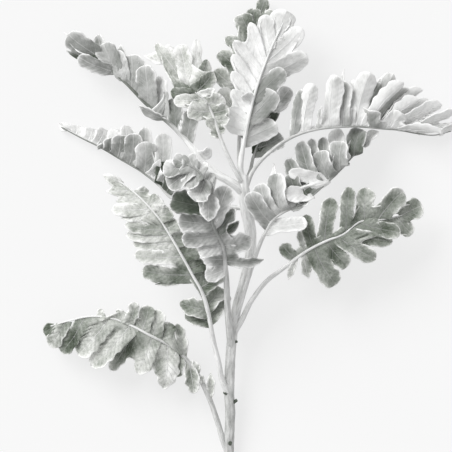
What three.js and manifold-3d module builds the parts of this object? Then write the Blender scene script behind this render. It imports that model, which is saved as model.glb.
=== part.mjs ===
// A cut stem of dusty miller lying on a flat surface: one woody, felted stem and the deeply cut,
// felted fronds that grow from it. Millimetres, +Z up. The stem runs along +Y from its cut end,
// the leaves lie out to both sides, and the side that faces up is the one that is looked at.
import * as THREE from 'three';
import Module from 'manifold-3d';

// Driving dimensions
const BLADE = 0.8; // thickness of a felted leaf blade
const GAP = 0.3; // clearance between a leaf stalk and the bark it grows from
const STALK_SIDES = 6;
const STALK_STEP = 12; // length of a leaf stalk between two sections
const STALK_TAPER = 0.72; // share of its radius that a stalk keeps where the blade begins
const RIB_END = 0.5; // radius of a midrib at its tip
const RIB_FALL = 0.6; // a midrib thins fast where the blade begins and slowly at its tip
const ARCH = 0.1; // rise of a lobe's middle over its chord, as a share of its length
const SWEEP = 0.1; // how far a lobe's middle hangs back towards the leaf's base
const CUP = 0.16; // how far a lobe's edges stand up, as a share of its half width
const RIPPLE = 0.35; // waving of a lobe's edges
const WELD = 0.004; // corners nearer to each other than this become one
const CENTRE = new THREE.Vector3(-13, -142, 0); // brings the middle of the plant to the origin

const SLIVER = 12.1; // a lobe narrower than this is flat from edge to edge
const RUN_ON = 0.8; // a lobe this nearly in line with the midrib runs on from it

// Outline of a lobe: share of its length, and half width as a share of its greatest width
const LOBE_OUTLINE = [[0, 0.6], [0.4, 0.45], [0.78, 0.5], [1, 0.22]];
const SLIVER_OUTLINE = [[0, 0.45], [0.7, 0.5], [1, 0.2]];

// The stem: axis points from the cut end to the growing tip, and its radius at each of them
const STEM_AXIS = [
  [-2.4, 0, 3.6], [-2.1, 14, 5], [-1.2, 38, 8.5], [-1.8, 51, 10.5], [-0.6, 77, 14.5],
  [2.4, 99, 18], [7.2, 117, 21], [10.8, 134, 24], [10.8, 146, 26], [8.4, 159, 28], [6.6, 172, 30],
  [6.6, 180, 31],
];
const STEM_RADIUS = [3.5, 3.2, 3.1, 3.2, 3.1, 3, 3, 3.2, 3.6, 3.8, 3.6, 2.4];
const STEM_RIDGES = 7; // lengthwise ridges in the bark
const RIDGE_DEPTH = 0.09; // as a share of the radius
const STEM_STEP = 6; // length of bark between two sections

const FLARE = 1.3; // widening of a stump at its foot

// Stumps of fallen leaves on the stem: station along the axis, direction, length, radius
const STUMPS = [
  [1.2, [0.25, 0.35, 1], 4.2, 1.1],
  [2.3, [1, 0.7, 0.3], 5.4, 0.9],
  [2.9, [-0.7, 0.2, 0.8], 4, 1.2],
  [4.1, [0.9, 0.3, 0.5], 4, 0.8],
];

// Each frond: its midrib from the bark to its tip, the stalk's radius, the station where the
// blade begins, the way its green face looks at its base and at its tip, and its lobes. A lobe is
// written as the station on the midrib where it grows, the place of its tip in x and y, its rise
// over that station, and its width.
const FRONDS = {
  leaf_lower_left: {
    rib: [
      [-3, 14, 5.5], [-6, 23, 7], [-8.7, 32.4, 9], [-13.5, 46.2, 13], [-19.8, 59.4, 17],
      [-28.8, 71.4, 20], [-38.4, 78.6, 22], [-48.9, 84, 23], [-61.8, 90.6, 23], [-73.2, 94.4, 22],
      [-85.2, 95, 20], [-97.2, 92.4, 17], [-108, 89.2, 14],
    ],
    stalk: 1.85,
    blade: 5.4,
    face: [[0.1, 0.3, 1], [-0.2, 0.5, 1]],
    lobes: [
      [3, -12.8, 61, 3, 5], [3.7, -18.4, 60.4, 3, 3], [4.1, -22.9, 69.2, 2, 5],
      [4.7, -23, 50, -3, 9], [5, -32.9, 90.4, 4, 6.6], [5.2, -35, 60.4, -4, 8.6],
      [5.5, -36, 73, 1, 4], [6, -40.8, 53.2, -6, 15], [6.4, -37.6, 91.6, 4, 10],
      [6.85, -43.6, 99, 4, 11], [6.9, -55.6, 62, -5, 12.5], [7.4, -50, 101.4, 4, 10],
      [7.7, -72, 64.6, -8, 8.4], [7.9, -82.8, 66.6, -4, 12.5], [8, -57.4, 103.8, 5, 7],
      [8.5, -64, 98.6, 3, 9], [9, -91, 73.2, -4, 12.5], [9.6, -76, 97, 1, 8],
      [10.2, -101.4, 74.4, -4, 10], [11.2, -108, 78, -3, 9.6], [11.8, -111.8, 85.4, -2, 8],
    ],
  },
  leaf_left: {
    rib: [
      [-3, 50, 12], [-6.4, 59, 16], [-8.1, 68.4, 20], [-11, 80.4, 24], [-13.5, 94.2, 29],
      [-16.8, 108, 33], [-22.8, 119.4, 36], [-29.4, 131.4, 38], [-36, 142.8, 39],
      [-42, 152.2, 39], [-48.6, 160.4, 38], [-56.4, 168, 36], [-64, 174, 33], [-71.6, 178, 30.5],
    ],
    stalk: 1.85,
    blade: 4.6,
    face: [[-0.1, -0.1, 1], [-0.3, 0.2, 1]],
    lobes: [
      [3.85, -26.6, 98, -3, 9], [3.9, -3.2, 108.5, -9, 8.5], [4.4, -30.6, 103.8, -1, 12],
      [4.55, -6.4, 112, -9, 10], [5.4, -8, 121, -3, 11], [6, -44.8, 114.8, -3, 3.4],
      [6.1, -52.2, 123, -3, 10.8], [6.4, -17, 128, -2, 9], [7, -57, 132.8, -2, 9.6],
      [7.05, -21, 135.5, -2, 10], [7.7, -59, 138.8, -3, 8.8], [7.75, -28, 143, -1, 9.5],
      [8.1, -61.8, 144.6, -3, 8.4], [8.4, -64.4, 149.6, -3, 8.6], [8.5, -32, 151.6, 0, 9.5],
      [9.3, -36.5, 158.6, 0, 10], [9.7, -65, 154, -3, 6], [9.9, -70.6, 159.4, -3, 8],
      [10.1, -42.5, 165.6, 0, 10], [10.8, -68.4, 164.2, -3, 5], [11.2, -49.4, 170.6, -1, 5.6],
      [11.4, -74, 170, -3, 4.6], [12.1, -76, 179.6, -2, 5],
    ],
  },
  leaf_far_left: {
    rib: [
      [7, 160, 27], [-4, 161, 23], [-12, 162, 22], [-20.4, 163.2, 21], [-35.4, 166.2, 19],
      [-44.4, 174.8, 16.5], [-54.6, 182.6, 14], [-66, 189.2, 11.4], [-78.6, 196.6, 8.4],
      [-91.2, 202.8, 5.8], [-102, 208.6, 4.4],
    ],
    stalk: 1.5,
    blade: 4,
    face: [[-0.2, -0.8, 0.6], [0.2, -0.5, 1]],
    lobes: [
      [4.4, -35.6, 181, 2, 9], [4.7, -41, 187.6, 1, 10.5], [4.9, -41.4, 203.8, -3, 10.4],
      [5, -39.8, 181, 5, 5.6], [5.6, -43, 188.6, 5.4, 5.6], [5.8, -52, 199, 3, 12.6],
      [6.1, -52, 207.8, -4, 8.4], [6.6, -59, 204, 3, 11], [6.8, -63.8, 208.8, -4, 8.6],
      [7.2, -66.8, 203.4, 3, 11], [7.5, -70.4, 207.2, -4, 9], [7.6, -73, 201.8, 3, 9],
      [7.9, -78, 198.8, 2, 7], [8.2, -76.6, 207.4, -4, 9], [8.6, -84, 207.8, -4, 9],
      [9.2, -93, 209.4, -3.6, 8], [9.7, -103.6, 210.6, -3.6, 4.4],
    ],
  },
  leaf_upper_left: {
    rib: [
      [6.6, 169, 30], [3, 172.8, 32], [-1.2, 175.8, 33], [-9.6, 180.6, 33.5], [-16.2, 185.4, 33],
      [-20.4, 190.8, 31.5], [-25.8, 199, 29], [-32.4, 206.4, 27], [-39, 212.4, 25],
      [-47.4, 219.4, 23], [-53.4, 224.8, 21], [-61.8, 233.6, 19], [-70.8, 242, 17],
      [-80.8, 252.4, 15.5], [-92, 262, 14.5],
    ],
    stalk: 2.9,
    blade: 5.6,
    face: [[-0.3, -0.6, 0.8], [-0.3, -0.5, 1]],
    lobes: [
      [5.1, -12.6, 194, -2, 7], [6.2, -24.2, 217.6, 3, 10], [6.7, -28.4, 217, 1, 3.6],
      [7.1, -34.8, 225, -3, 10.6], [8.1, -55.4, 220.8, 3, 6.4], [8.4, -44, 237.4, -3, 12],
      [9.4, -51.6, 244.2, 3, 13], [10.8, -59.6, 250.8, 1, 15], [11.25, -69.4, 253.2, 0.6, 11],
      [11.5, -66.6, 257.2, -5, 6.4], [11.8, -76.4, 257.8, 1, 13.4], [12, -90.8, 250, 3, 9.6],
      [12.3, -99.4, 264.4, -6, 4], [12.4, -98, 253.8, -5, 5], [12.6, -80.2, 263, -1, 7.4],
      [12.8, -97, 263.4, 2.6, 14.6],
    ],
  },
  leaf_young_left: {
    rib: [
      [5.4, 176, 33], [2.8, 180.4, 35], [-0.8, 187.4, 36], [-6, 199.2, 36.5], [-10.2, 211.8, 37],
      [-15, 222.6, 36.5], [-21, 228, 35.5], [-26.4, 232.2, 34], [-32.4, 239.4, 31.5],
      [-40.2, 247.8, 28],
    ],
    stalk: 1.5,
    blade: 3.6,
    face: [[0, 0, 1], [0.3, -0.3, 1]],
    lobes: [
      [3.3, -13, 204.6, 1, 4], [3.5, -4.4, 207, 2, 4], [3.9, -15.6, 211.8, 2, 5.6],
      [4, -1.6, 213, 3, 6], [4.4, -2.6, 219.4, 1, 9], [4.5, -25.8, 218.6, 3, 11],
      [4.9, -6.4, 226.6, 3, 10], [5.4, -34, 223.8, 2, 8], [5.6, -10.8, 227.4, 1, 6],
      [5.9, -36, 228.8, 1, 8], [5.95, -10.4, 230.4, 5.2, 4.8], [6.15, -11.6, 240.4, -2, 10.5],
      [6.5, -15, 247.6, -8, 8.6], [6.8, -21.4, 259, -8, 6.6], [7.1, -31, 256, -3, 10.4],
      [7.6, -45, 257, -3, 7], [8.6, -38.6, 257, -6, 6.4], [8.8, -51.6, 250.8, -8, 3],
    ],
  },
  leaf_crinkled: {
    rib: [
      [-0.6, 77, 15], [-1.6, 88, 22], [-2.6, 99, 28], [-3.2, 114, 36], [-3.9, 126.6, 43],
      [-5.2, 137, 49], [-8.6, 144.4, 54], [-11.6, 152, 59], [-12.6, 162, 64.4], [-14.4, 172, 68],
      [-19, 180.6, 70], [-27, 185.6, 69.6],
    ],
    stalk: 2.3,
    blade: 3.6,
    face: [[0, -0.6, 1], [-0.3, 0.6, 1]],
    lobes: [
      [3.8, -15.6, 119.6, -3, 9], [4.2, 18, 129.2, 0, 6.4], [4.3, -16.4, 130.6, -2, 8],
      [4.7, 2.2, 137.8, 3, 4.6], [5.1, 11, 141.6, -1, 12], [5.2, -19.6, 135.6, 1, 11.4],
      [5.7, 3.6, 151.8, -5, 5], [6, -28.8, 142.4, 1, 11], [6.2, 2, 158.6, 3, 9],
      [6.9, -31, 152.8, 1, 11.6], [7, -3, 172, 1, 12], [7.9, -35, 164.6, -4, 14],
      [8.6, -14, 152.6, 6, 13], [9.2, -12.6, 180.4, -3, 8], [9.5, -21, 164, 7, 12.6],
      [10, -17, 186.6, -3, 8], [10.1, -26, 171.4, 5, 11], [10.5, -26, 190, -2, 10],
      [10.6, -37, 172.6, 2, 12], [10.8, -34, 189, -1, 9], [10.9, -40, 181.6, 1, 11.6],
    ],
  },
  leaf_top_white: {
    rib: [
      [6.2, 177, 30.4], [4.9, 184.5, 31.2], [6.9, 198, 31.5], [9.2, 209.5, 31],
      [11.2, 218.6, 30.5], [13.8, 228.6, 29.5], [18, 241.2, 28], [23.4, 255, 26], [29, 267, 23.5],
      [31.6, 273, 22.4],
    ],
    stalk: 2.2,
    blade: 1.6,
    face: [[0.1, 0, -1], [0.2, 0.2, -1]],
    lobes: [
      [2.3, 25.6, 210, -2, 12], [2.7, -3.4, 209.8, 1, 8.4], [3.2, -1, 219.4, 1, 7.6],
      [3.3, 24.6, 229, 0, 14], [3.8, 0.6, 230, 1, 7.6], [4.4, 7.6, 227.6, 4.8, 6.8],
      [4.5, 0.6, 240.6, 1, 7.6], [4.7, 30.2, 242, 1, 11], [5.2, 0.8, 250.6, 0, 7.6],
      [5.8, 43.8, 250.4, -1, 12.6], [5.9, 1.8, 259, -1, 8], [6.3, 11.2, 269.6, -1, 7.2],
      [6.4, 41, 266.2, -2, 11], [6.9, 19.6, 274.4, -2, 10], [7.4, 31.8, 277.2, -1, 15],
    ],
  },
  leaf_top_back: {
    rib: [
      [5.4, 175, 27], [4.4, 183, 24.6], [4, 192, 23], [4.4, 206, 22], [4.8, 225, 18.5],
      [8.4, 249, 13.5], [13, 266, 9.5], [17.4, 277, 7],
    ],
    stalk: 1.4,
    blade: 2.8,
    face: [[0, 0.2, 1], [0.1, 0.3, 1]],
    lobes: [
      [3.6, -7, 230, 0, 10], [4.2, -10, 242, 0, 10], [4.6, 14, 246, -3, 9],
      [4.7, -7.4, 252.8, 1, 9.5], [5.3, -3.4, 261.8, 0, 7.6], [5.5, 21, 262, -2, 9],
      [5.8, 5.2, 275.4, -1, 12], [6.2, 12.6, 279, -1, 9.4], [6.4, 25, 277, 0, 7.8],
      [6.8, 19.6, 285.4, -1, 7.4],
    ],
  },
  leaf_back_right: {
    rib: [
      [8.2, 175.4, 26.8], [11, 183, 24.6], [13, 192, 23], [17.5, 204, 21], [22, 214, 19.5],
      [27.4, 223.6, 18],
    ],
    stalk: 1.3,
    blade: 1.8,
    face: [[0.2, 0, 1], [0.2, 0.2, 1]],
    lobes: [
      [2, 19.6, 204.8, -2, 7.4], [2.1, 22, 196, -2, 8], [2.3, 29.6, 202.4, 1, 11.6],
      [2.6, 7, 206, -2, 8], [3.6, 13, 219, -2, 8], [4, 28.6, 220.6, -1, 5],
      [4.3, 33.8, 223.4, -1, 5], [4.6, 34, 231, -1, 9.4], [4.7, 22.5, 232, -2, 7],
    ],
  },
  leaf_upper_right: {
    rib: [
      [8.2, 171.5, 29.4], [12.6, 182.4, 31], [21.6, 192.6, 32], [35.4, 202.2, 31],
      [49.2, 206.8, 28], [64.2, 208.6, 24], [76.8, 208.8, 20], [90.6, 207.6, 15.5],
      [99, 207, 12.5], [110.4, 205, 9.8], [121, 204, 7.2], [131, 206.4, 5.4],
    ],
    stalk: 1.4,
    blade: 3,
    face: [[0.2, 0.9, -0.3], [0.3, 0.8, -0.5]],
    lobes: [
      [3.12, 41.4, 229.6, -1, 7.4], [3.5, 47.6, 233, 2.5, 9.8], [4.15, 53.2, 220, 1, 3.4],
      [4.6, 60.8, 238.2, 1, 12], [5.05, 66.6, 241.8, -5, 3.2], [5.15, 67, 235, -2, 10],
      [5.45, 72.2, 236, -4, 8.6], [5.65, 74.2, 233.4, -6, 3.6], [5.8, 81.8, 239.8, 3, 12.4],
      [6.05, 88, 234, -1.6, 8.6], [6.3, 101.4, 234, 4, 10.4], [6.35, 89.6, 237.6, -6, 3.4],
      [6.4, 82.2, 217.8, 5, 13], [6.5, 95.8, 239.2, -5, 10.4], [6.6, 104.4, 230.6, -1, 9],
      [7, 113, 230, -4, 10], [7.1, 110.4, 224.6, 3, 10], [7.5, 101.4, 216, 5, 10],
      [7.6, 117, 223.6, -2, 9], [7.9, 124.2, 221.4, 1, 10.4], [8, 124.4, 204.4, 5, 8],
      [8.9, 135, 217, 0, 11], [10.3, 138.6, 208.8, -1.6, 10],
    ],
  },
  leaf_middle_right: {
    rib: [
      [2.6, 95, 17.6], [4.7, 102, 22.6], [7, 109.6, 25.5], [10.2, 120, 27.5], [14, 131.6, 29],
      [17.4, 140.6, 30], [20.6, 146.6, 31.5], [24.8, 152.8, 33], [31.2, 157.4, 33],
      [40.8, 161.6, 32], [49.2, 168.2, 30], [56.4, 174.6, 27.5], [63, 180.6, 24.5],
      [71.4, 189.6, 19], [78, 196, 14.5], [84, 202.4, 12],
    ],
    stalk: 1.6,
    blade: 6.2,
    face: [[-0.5, 0.6, 0.7], [-0.5, 0.5, 0.9]],
    lobes: [
      [6.3, 43.8, 151, 3, 10], [6.7, 11, 168.8, 4, 11.4], [7.2, 17, 173.8, -1, 11],
      [7.8, 27.8, 179.8, 2, 13], [8, 24.8, 185.6, -5, 5], [8.4, 44, 166, -2, 11],
      [9.2, 34.6, 179.6, -1, 10], [9.9, 32.4, 168.6, 6.6, 9.8], [9.85, 33.6, 188.8, -5, 9],
      [10.4, 41.2, 198.8, -5, 10], [11.3, 34.4, 181.4, 6, 8], [11, 47.4, 200.2, -8, 7.6],
      [11.35, 53.4, 193.6, -1, 12], [11.7, 54.2, 201.4, -8, 8], [12.2, 65.4, 199.2, 1, 13.6],
      [12.6, 62, 206.4, -8, 10], [13.2, 77, 206.4, -1, 13], [14.1, 86.8, 205.6, -3, 7],
    ],
  },
  leaf_lower_right: {
    rib: [
      [1.6, 86, 16], [5.6, 93, 19], [8.8, 99.6, 20.5], [12.6, 106.4, 22.5], [20.4, 116.4, 25],
      [31.2, 124.8, 27], [39.6, 131.4, 28], [48, 136.8, 29], [57, 141, 29], [66.6, 144.8, 29],
      [72, 149.4, 28], [77.4, 152.4, 27], [85.8, 152.8, 26], [94.8, 154.2, 24], [103, 156.4, 22],
    ],
    stalk: 1.8,
    blade: 5.2,
    face: [[0, -0.3, 1], [0.1, 0, 1]],
    lobes: [
      [5.8, 30, 138.4, 2, 8], [5.9, 33.6, 118.2, -3, 4], [6.4, 45.6, 118.8, -5, 6],
      [6.5, 40, 147, -2, 4], [7.05, 44, 155.4, 1, 9], [7.1, 61.4, 115.2, -5, 12.6],
      [7.8, 59.2, 165.4, 1, 11.4], [7.9, 68.6, 126.4, -4, 9.6], [8.6, 84.8, 130.4, -2, 9.6],
      [9.2, 69.8, 171.8, 1, 10], [9.3, 94.6, 140.6, -4, 8.6], [10.7, 99.2, 145.6, -1, 9.6],
      [11.2, 80.6, 171.2, 1, 11], [12.1, 101, 169.8, 1, 12.8], [13.4, 107, 145, -2, 9],
      [13.6, 112.6, 161.4, -1, 12.4],
    ],
  },
};

const wasm = await Module();
wasm.setup();

const vec = (p) => new THREE.Vector3(...p);

// A smooth curve through control points, where station 2.5 lies half way from point 2 to point 3
function spine(points) {
  const curve = new THREE.CatmullRomCurve3(points.map(vec), false, 'catmullrom', 0.5);
  const last = points.length - 1;
  return {
    last,
    at: (station) => curve.getPoint(Math.min(station / last, 1)),
    along: (station) => curve.getTangent(Math.min(station / last, 1)),
    reach: (station) => {
      const steps = Array.from({ length: 33 }, (_, i) => curve.getPoint((station * i) / 32 / last));
      return steps.reduce((sum, p, i) => (i ? sum + p.distanceTo(steps[i - 1]) : 0), 0);
    },
  };
}

// Part of a direction that is square to another one
function squareTo(direction, axis) {
  return direction.clone().addScaledVector(axis, -direction.dot(axis)).normalize();
}

function solid(corners, triangles) {
  return new wasm.Manifold(new wasm.Mesh({
    numProp: 3,
    vertProperties: new Float32Array(corners.flatMap((c) => c.toArray())),
    triVerts: new Uint32Array(triangles.flat()),
  }));
}

// Closed solid through rings of equal count, capped flat at both ends
function loft(rings) {
  const sides = rings[0].length;
  const corners = rings.flat();
  const triangles = [];
  for (let i = 0; i + 1 < rings.length; i += 1) {
    for (let j = 0; j < sides; j += 1) {
      const a = i * sides + j;
      const b = i * sides + ((j + 1) % sides);
      triangles.push([a, b, b + sides], [a, b + sides, a + sides]);
    }
  }
  const end = (rings.length - 1) * sides;
  for (let j = 1; j + 1 < sides; j += 1) {
    triangles.push([0, j + 1, j], [end, end + j, end + j + 1]);
  }
  return solid(corners, triangles);
}

// Ring of points square to an axis, with its radius given point by point
function ring(centre, axis, up, sides, radiusAt) {
  const high = squareTo(up, axis);
  const wide = high.clone().cross(axis);
  return Array.from({ length: sides }, (_, j) => {
    const angle = (2 * Math.PI * j) / sides;
    const radius = radiusAt(j);
    return centre.clone()
      .addScaledVector(wide, radius * Math.cos(angle))
      .addScaledVector(high, radius * Math.sin(angle));
  });
}

// Closed sheet over a grid of points, a blade thick, with both faces split alike
function slab(grid) {
  const columns = grid[0].length;
  const corners = [];
  for (const side of [0.5, -0.5]) {
    for (const { point, normal } of grid.flat()) {
      corners.push(point.clone().addScaledVector(normal, side * BLADE));
    }
  }
  const under = grid.length * columns;
  const triangles = [];
  const edge = [];
  for (let i = 0; i + 1 < grid.length; i += 1) {
    for (let j = 0; j + 1 < columns; j += 1) {
      const a = i * columns + j;
      const split = j * 2 < columns - 1
        ? [[a, a + columns, a + columns + 1], [a, a + columns + 1, a + 1]]
        : [[a, a + columns, a + 1], [a + 1, a + columns, a + columns + 1]];
      for (const [p, q, r] of split) {
        triangles.push([p, q, r], [under + p, under + r, under + q]);
      }
    }
  }
  for (let j = 0; j + 1 < columns; j += 1) edge.push(j);
  for (let i = 0; i + 1 < grid.length; i += 1) edge.push(i * columns + columns - 1);
  for (let j = columns - 1; j > 0; j -= 1) edge.push((grid.length - 1) * columns + j);
  for (let i = grid.length - 1; i > 0; i -= 1) edge.push(i * columns);
  edge.forEach((a, k) => {
    const b = edge[(k + 1) % edge.length];
    triangles.push([a, b, under + b], [a, under + b, under + a]);
  });
  return solid(corners, triangles);
}

// One lobe: a cupped, arched, wavy tongue whose broad foot lies along the midrib
function lobe(rib, faceAt, [station, x, y, rise, width]) {
  const foot = rib.at(station);
  const along = rib.along(station);
  const tip = new THREE.Vector3(x, y, foot.z + rise);
  const reach = tip.clone().sub(foot);
  const length = reach.length();
  const face = squareTo(faceAt(station), reach.clone().normalize());
  const middle = foot.clone().lerp(tip, 0.5)
    .addScaledVector(face, ARCH * length)
    .addScaledVector(along, -SWEEP * length);
  const axis = new THREE.QuadraticBezierCurve3(foot, middle, tip);
  const slim = width < SLIVER;
  const runsOn = Math.abs(reach.dot(along)) > RUN_ON * length;
  const grid = (slim ? SLIVER_OUTLINE : LOBE_OUTLINE).map(([share, half], row) => {
    const point = axis.getPoint(share);
    const forward = axis.getTangent(share);
    const normal = squareTo(face, forward);
    const across = normal.clone().cross(forward);
    if (row === 0 && !runsOn) {
      const turned = along.clone().multiplyScalar(Math.sign(along.dot(across)) || 1);
      across.copy(turned);
    }
    const lift = row === 0 ? 0 : CUP * half * width + (row % 2 ? RIPPLE : -RIPPLE);
    return (slim ? [-1, 1] : [-1, 0, 1]).map((q) => ({
      point: point.clone()
        .addScaledVector(across, q * half * width)
        .addScaledVector(normal, Math.abs(q) * lift),
      normal,
    }));
  });
  return slab(grid);
}

// A frond: its stalk, which runs on as the midrib, and every lobe, joined
function frond({ rib: points, stalk, blade, face: [low, high], lobes }) {
  const rib = spine(points);
  const faceAt = (station) => vec(low).lerp(vec(high), station / rib.last).normalize();
  const sections = Math.ceil(rib.reach(rib.last) / STALK_STEP);
  const rings = Array.from({ length: sections + 1 }, (_, i) => {
    const station = (rib.last * i) / sections;
    const beyond = Math.max(0, (station - blade) / (rib.last - blade));
    const atBlade = stalk * THREE.MathUtils.lerp(1, STALK_TAPER, Math.min(1, station / blade));
    const radius = THREE.MathUtils.lerp(atBlade, RIB_END, beyond ** RIB_FALL);
    return ring(rib.at(station), rib.along(station), faceAt(station), STALK_SIDES, () => radius);
  });
  return lobes.reduce((whole, row) => whole.add(lobe(rib, faceAt, row)), loft(rings));
}

// The outer skin of a joined solid, without sealed pockets or loose scraps
function skin(body) {
  return body.decompose().reduce((most, one) => (one.volume() > most.volume() ? one : most));
}

// The ridged stem, grown by a margin where it is used to clear what stands against it
function stem(margin) {
  const axis = spine(STEM_AXIS);
  const radii = spine(STEM_RADIUS.map((r) => [r, 0, 0]));
  const sections = Math.round(STEM_AXIS.at(-1)[1] / STEM_STEP);
  const up = new THREE.Vector3(0, 0, 1);
  const rings = Array.from({ length: sections + 1 }, (_, i) => {
    const station = (axis.last * i) / sections;
    const radius = radii.at(station).x + margin;
    const beyond = { 0: -margin, [sections]: margin }[i] ?? 0;
    const point = axis.at(station).addScaledVector(axis.along(station), beyond);
    const ridged = (j) => radius * (1 - (j % 2) * RIDGE_DEPTH);
    return ring(point, axis.along(station), up, 2 * STEM_RIDGES, ridged);
  });
  return STUMPS.reduce((whole, [station, direction, length, radius]) => {
    const foot = axis.at(station);
    const way = vec(direction).normalize();
    const end = foot.clone().addScaledVector(way, length + margin);
    const side = Math.abs(way.y) < 0.9 ? new THREE.Vector3(0, 1, 0) : up;
    const collar = [[foot, FLARE], [end, 1]].map(([at, flare]) => {
      const r = radius * flare + margin;
      return ring(at, way, side, STALK_SIDES, () => r);
    });
    return whole.add(loft(collar));
  }, loft(rings));
}

// Corners and triangles of a joined solid, with corners that all but meet welded to one
function weld(body) {
  const { vertProperties, triVerts } = body.getMesh();
  const places = new Map();
  const corners = [];
  const welded = Array.from({ length: vertProperties.length / 3 }, (_, i) => {
    const corner = [0, 1, 2].map((k) => Math.round(vertProperties[3 * i + k] / WELD) * WELD);
    const key = corner.map((c) => c.toFixed(4)).join();
    if (!places.has(key)) {
      places.set(key, places.size);
      corners.push(...corner);
    }
    return places.get(key);
  });
  const triangles = [];
  for (let i = 0; i < triVerts.length; i += 3) {
    const [a, b, c] = [0, 1, 2].map((k) => welded[triVerts[i + k]]);
    if (a !== b && b !== c && c !== a) triangles.push(a, b, c);
  }
  return { corners, triangles };
}

// A named mesh from a joined solid
function piece(name, body, color, roughness) {
  const { corners, triangles } = weld(body);
  const geometry = new THREE.BufferGeometry();
  geometry.setAttribute('position', new THREE.Float32BufferAttribute(corners, 3));
  geometry.setIndex(triangles);
  geometry.computeVertexNormals();
  const material = new THREE.MeshStandardMaterial({ color, roughness, metalness: 0 });
  const mesh = new THREE.Mesh(geometry, material);
  mesh.name = name;
  return mesh;
}

const plant = new THREE.Group();
plant.name = 'dusty_miller';
plant.position.copy(CENTRE);
plant.add(piece('stem', stem(0), 0xb9bbb4, 0.9));
const bark = stem(GAP);
for (const [name, shape] of Object.entries(FRONDS)) {
  const color = shape.face[0][2] > 0 ? 0x98a195 : 0xdfe0dc;
  plant.add(piece(name, skin(frond(shape).subtract(bark)), color, 0.92));
}

export default plant;
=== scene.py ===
from math import pi, radians

import bpy
import numpy as np
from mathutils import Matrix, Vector


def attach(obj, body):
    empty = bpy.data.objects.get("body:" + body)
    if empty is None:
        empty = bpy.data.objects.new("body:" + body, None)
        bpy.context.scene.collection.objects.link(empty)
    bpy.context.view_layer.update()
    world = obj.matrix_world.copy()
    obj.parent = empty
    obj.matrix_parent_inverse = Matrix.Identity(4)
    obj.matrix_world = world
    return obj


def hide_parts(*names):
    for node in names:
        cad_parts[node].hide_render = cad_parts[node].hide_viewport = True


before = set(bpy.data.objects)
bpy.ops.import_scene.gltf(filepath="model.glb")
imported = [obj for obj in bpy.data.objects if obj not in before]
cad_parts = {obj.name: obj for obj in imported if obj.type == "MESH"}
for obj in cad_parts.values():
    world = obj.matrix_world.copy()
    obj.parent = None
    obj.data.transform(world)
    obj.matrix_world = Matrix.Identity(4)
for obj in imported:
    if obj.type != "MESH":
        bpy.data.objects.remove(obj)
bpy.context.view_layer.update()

MM = 0.001
CENTRE = np.array([-13.0, -142.0, 0.0])  # brings the middle of the plant to the frame's origin

# Leaf blades, in millimetres or as shares of a lobe's own size
BLADE = 0.8
ARCH = 0.1
SWEEP = 0.1
CUP = 0.16
RIPPLE = 0.35
SLIVER = 9.3
LOBE_OUTLINE = ((0, 0.5), (0.4, 0.45), (0.78, 0.5), (1, 0.22))
SLIVER_OUTLINE = ((0, 0.4), (0.7, 0.5), (1, 0.2))
STALK_TAPER = 0.72

# Finer shape that the frame's solids leave out
LOBE_GRID, SLIVER_GRID, WEB_GRID = (40, 17), (26, 11), (18, 15)  # points along and across a sheet
ROOT = 0.3  # share of its length over which a lobe rises from the midrib and widens
TIP_REACH = 1.03  # share of its length at which a lobe's rounded end closes
POINTED = 6.5  # a lobe narrower than this comes to a point
FRONT, BEHIND = 4.5, -3.5  # a lobe that rises more or less is joined only to others that do
FAR_APART = 26  # lobes whose feet are further apart than this aren't joined
FOLD = (0.8, 2.1)  # how much more or less than CUP a lobe is folded along its middle
EDGE_THIN = 0.75  # thickness of a blade at its margin, as a share of BLADE
EDGE_WIDTH = 1.2  # of the strip along a margin in which the blade thins
EDGE_BULGE = 0.16  # how far the felted margin stands out
TOOTH_DEPTH = 0.1  # waving of a margin in the blade's own plane, as a share of its half width
TOOTH_LENGTH = 6.5
FRILL = 0.75  # rise and fall of a margin
FRILL_LENGTH = 8
PAINTED_SHADE = 0.1  # painted shade: how much paler or darker one side of a lobe may be than its middle, for the light and shade on the two sides of its fold
LOOSE = 15  # degrees that a lobe may turn about its own length by chance
QUILT = 0.34  # how far the blade swells between two side veins
SINUS_ROUND = 0.4  # how much further out the web reaches at a lobe's margin than between lobes
HOLD = 0.45  # place across a lobe where the web between lobes takes hold
GRIP = 0.42  # the same as a share of the distance between the lobes, where they are close
WEB_END = 0.9  # share of a lobe's length that a web may cover without a deeper join
WEB_THIN = 0.86  # thickness of the web, as a share of BLADE
WAVES = ((17, 0.42), (7.5, 0.2), (3.6, 0.1))  # unevenness of a blade: wavelength and height

# Veins: radius, distance from the middle of the blade, and how much paler they are
MIDVEIN = (0.3, 0.4, 0.12)
SIDE_VEIN = (0.2, 0.36, 0.05)
VEIN_SPACING = 3.4  # between the side veins of a lobe
VEIN_LEAN = 1.1  # how far a side vein runs forward for each millimetre it runs out
MIDRIB_RISE = 0.9  # how far a midrib stands out of the blade
MIDRIB_LOSS = 0.68  # share of its radius that a midrib loses on its way to the tip
THINNEST = 0.34  # radius of a midrib at its thinnest

STEM_AXIS = (
    (-2.4, 0, 3.6), (-2.1, 14, 5), (-1.2, 38, 8.5), (-1.8, 51, 10.5), (-0.6, 77, 14.5), (2.4, 99, 18),
    (7.2, 117, 21), (10.8, 134, 24), (10.8, 146, 26), (8.4, 159, 28), (6.6, 172, 30), (6.6, 180, 31),
)
STEM_RADIUS = (3.5, 3.2, 3.1, 3.2, 3.1, 3, 3, 3.2, 3.6, 3.8, 3.6, 2.4)
STEM_RIDGES = 7
RIDGE_DEPTH = 0.09
# Stumps of fallen leaves: station on the axis, direction, length, radius
STUMPS = (
    (1.2, (0.25, 0.35, 1), 4.2, 1.1), (2.3, (1, 0.7, 0.3), 5.4, 0.9),
    (2.9, (-0.7, 0.2, 0.8), 4, 1.2), (4.1, (0.9, 0.3, 0.5), 4, 0.8),
)
STUMP_TONE = 0.2
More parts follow.
